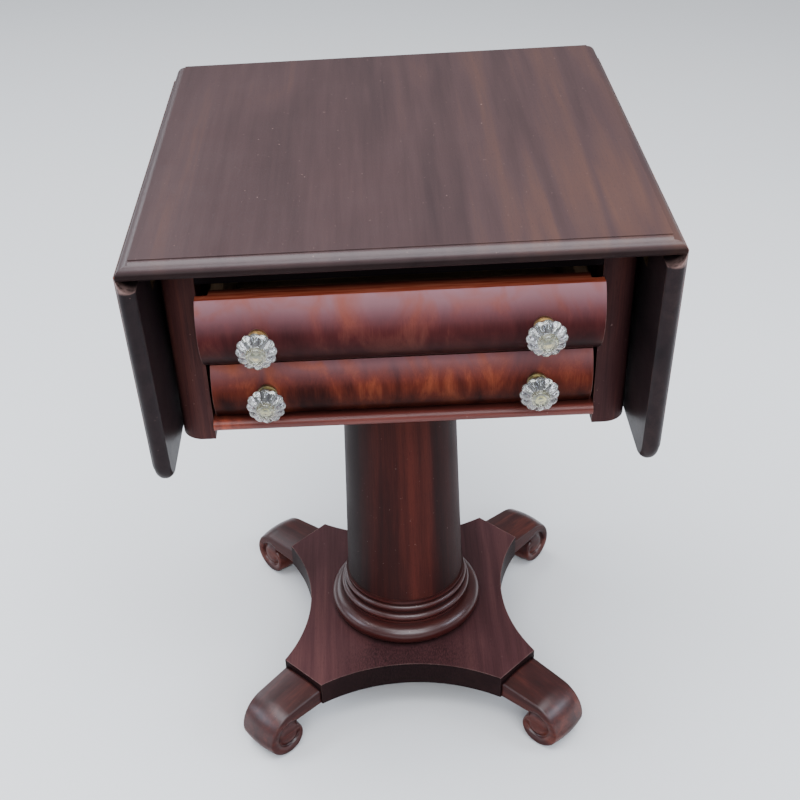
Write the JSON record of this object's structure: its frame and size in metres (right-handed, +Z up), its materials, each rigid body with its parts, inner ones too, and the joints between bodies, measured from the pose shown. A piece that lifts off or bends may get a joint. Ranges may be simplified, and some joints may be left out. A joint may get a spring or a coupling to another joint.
{
  "type": "drop leaf work table",
  "caption": "Drop-leaf sewing and work table: two drawers with glass knobs in a case on a tapered column, moulded ring, hollow-sided platform and scroll feet.",
  "frame": {"origin": "centre of the base on the floor, on the column's axis", "axes": "+Z up; the drawers open towards -Y; +X is the right-hand leaf seen from the front"},
  "size_m": [0.518, 0.525, 0.737],
  "materials": {
    "top_mahogany": "satin",
    "case_mahogany": "satin",
    "column_mahogany": "satin",
    "pedestal_mahogany": "satin",
    "flame_veneer": "polished",
    "poplar": "bare",
    "hinge_brass": "aged",
    "collar_brass": "aged",
    "pressed_glass": "clear",
    "iron": "dull"
  },
  "bodies": {
    "case": {"top_board": "top_mahogany", "left_side_panel": "case_mahogany", "right_side_panel": "case_mahogany", "back_panel": "case_mahogany", "front_left_post": "case_mahogany", "front_right_post": "case_mahogany", "back_left_post": "case_mahogany", "back_right_post": "case_mahogany", "bottom_rail": "case_mahogany", "drawer_divider": "poplar", "top_rail": "case_mahogany", "case_bottom": "poplar", "lower_runners": "poplar", "upper_runners": "poplar", "kickers": "poplar", "slide_guides": "poplar", "left_leaf_slide": "case_mahogany", "right_leaf_slide": "case_mahogany", "top_cleats": "poplar", "top_screws": "iron", "hinge_plates": "hinge_brass", "hinge_pins": "iron", "hinge_screws": "hinge_brass", "bearer": "poplar", "bearer_screws": "iron", "column": "column_mahogany", "base_ring": "pedestal_mahogany", "platform": "pedestal_mahogany", "front_left_foot": "pedestal_mahogany", "front_right_foot": "pedestal_mahogany", "back_left_foot": "pedestal_mahogany", "back_right_foot": "pedestal_mahogany", "foot_dowels": "poplar"},
    "left_leaf": {"left_leaf": "top_mahogany", "left_leaf_plates": "hinge_brass", "left_leaf_screws": "hinge_brass"},
    "right_leaf": {"right_leaf": "top_mahogany", "right_leaf_plates": "hinge_brass", "right_leaf_screws": "hinge_brass"},
    "upper_drawer": {"upper_front": "flame_veneer", "upper_left_side": "poplar", "upper_right_side": "poplar", "upper_back": "poplar", "upper_bottom": "poplar", "upper_knobs": "pressed_glass", "upper_collars": "collar_brass", "upper_bolts": "iron"},
    "lower_drawer": {"lower_front": "flame_veneer", "lower_left_side": "poplar", "lower_right_side": "poplar", "lower_back": "poplar", "lower_bottom": "poplar", "lower_knobs": "pressed_glass", "lower_collars": "collar_brass", "lower_bolts": "iron"}
  },
  "joints": [
    {"name": "left_leaf_hinge", "type": "hinge", "parent": "case", "child": "left_leaf", "pos_m": [-0.243, 0, 0.721], "axis": [0, 1, 0], "range_deg": [0, 91.2]},
    {"name": "right_leaf_hinge", "type": "hinge", "parent": "case", "child": "right_leaf", "pos_m": [0.243, 0, 0.721], "axis": [0, -1, 0], "range_deg": [0, 91.2]},
    {"name": "upper_drawer_slide", "type": "slide", "parent": "case", "child": "upper_drawer", "axis": [0, -1, 0], "range_m": [0, 0.22]},
    {"name": "lower_drawer_slide", "type": "slide", "parent": "case", "child": "lower_drawer", "axis": [0, -1, 0], "range_m": [0, 0.22]}
  ]
}
